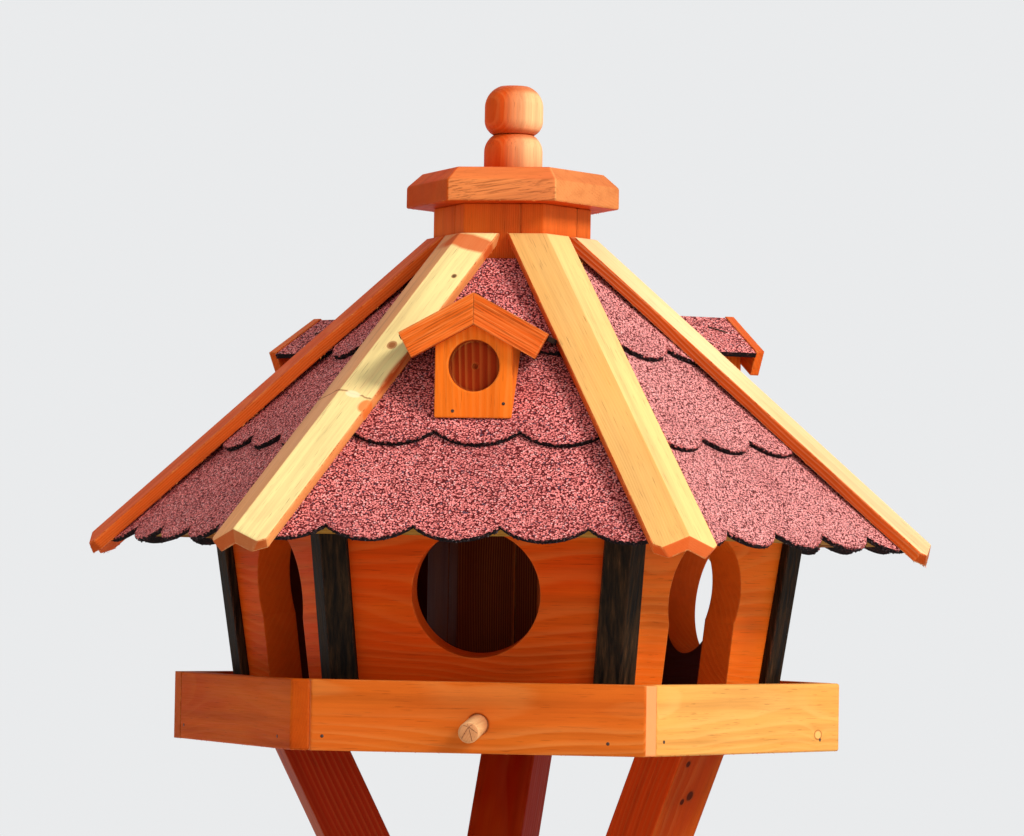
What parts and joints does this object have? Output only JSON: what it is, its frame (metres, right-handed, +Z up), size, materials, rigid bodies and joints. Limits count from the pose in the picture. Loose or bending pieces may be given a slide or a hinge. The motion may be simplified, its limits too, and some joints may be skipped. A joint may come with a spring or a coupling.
{
  "type": "bird feeder",
  "caption": "Hexagonal wooden bird feeder with a scalloped felt roof, little dormers, a feed silo under a lift-off lid, and crossed legs.",
  "frame": {"origin": "on the ground, on the vertical axis through the middle of the house", "axes": "+Z up; -Y out of the front, the side with a perch that the picture shows; +X to the right as seen from the front"},
  "size_m": [0.5913, 0.5821, 1.2895],
  "materials": {
    "leg_wood": "satin",
    "floor_wood": "satin",
    "rim_wood": "satin",
    "raw_dowel": "matte",
    "wall_wood": "satin",
    "dark_strips": "matte",
    "roof_boards": "matte",
    "roof_felt": "matte",
    "batten_wood": "satin",
    "silo_wood": "satin",
    "lid_wood": "satin",
    "dormer_wood": "satin",
    "bargeboard_wood": "satin"
  },
  "bodies": {
    "feeder": {"leg_right": "leg_wood", "leg_back": "leg_wood", "leg_left": "leg_wood", "tray_floor": "floor_wood", "rim_front": "rim_wood", "rim_front_right": "rim_wood", "rim_back_right": "rim_wood", "rim_back": "rim_wood", "rim_back_left": "rim_wood", "rim_front_left": "rim_wood", "perches": "raw_dowel", "wall_front": "wall_wood", "wall_front_right": "wall_wood", "wall_back_right": "wall_wood", "wall_back": "wall_wood", "wall_back_left": "wall_wood", "wall_front_left": "wall_wood", "corner_posts": "dark_strips", "roof_panel_front": "roof_boards", "roof_panel_front_right": "roof_boards", "roof_panel_back_right": "roof_boards", "roof_panel_back": "roof_boards", "roof_panel_back_left": "roof_boards", "roof_panel_front_left": "roof_boards", "shingles_eave": "roof_felt", "shingles_middle": "roof_felt", "shingles_top": "roof_felt", "hip_batten_right": "batten_wood", "hip_batten_back_right": "batten_wood", "hip_batten_back_left": "batten_wood", "hip_batten_left": "batten_wood", "hip_batten_front_left": "batten_wood", "hip_batten_front_right": "batten_wood", "feed_silo": "silo_wood", "dormer_front": "dormer_wood", "dormer_back_right": "dormer_wood", "dormer_back_left": "dormer_wood", "bargeboards_front": "bargeboard_wood", "bargeboards_back_right": "bargeboard_wood", "bargeboards_back_left": "bargeboard_wood", "dormer_felt": "roof_felt"},
    "lid": {"lid_cap": "lid_wood", "lid_plug": "lid_wood", "lid_finial": "lid_wood"}
  },
  "joints": [
    {"name": "lid_lift", "type": "slide", "parent": "feeder", "child": "lid", "axis": [0, 0, 1], "range_m": [0, 0.08]}
  ]
}
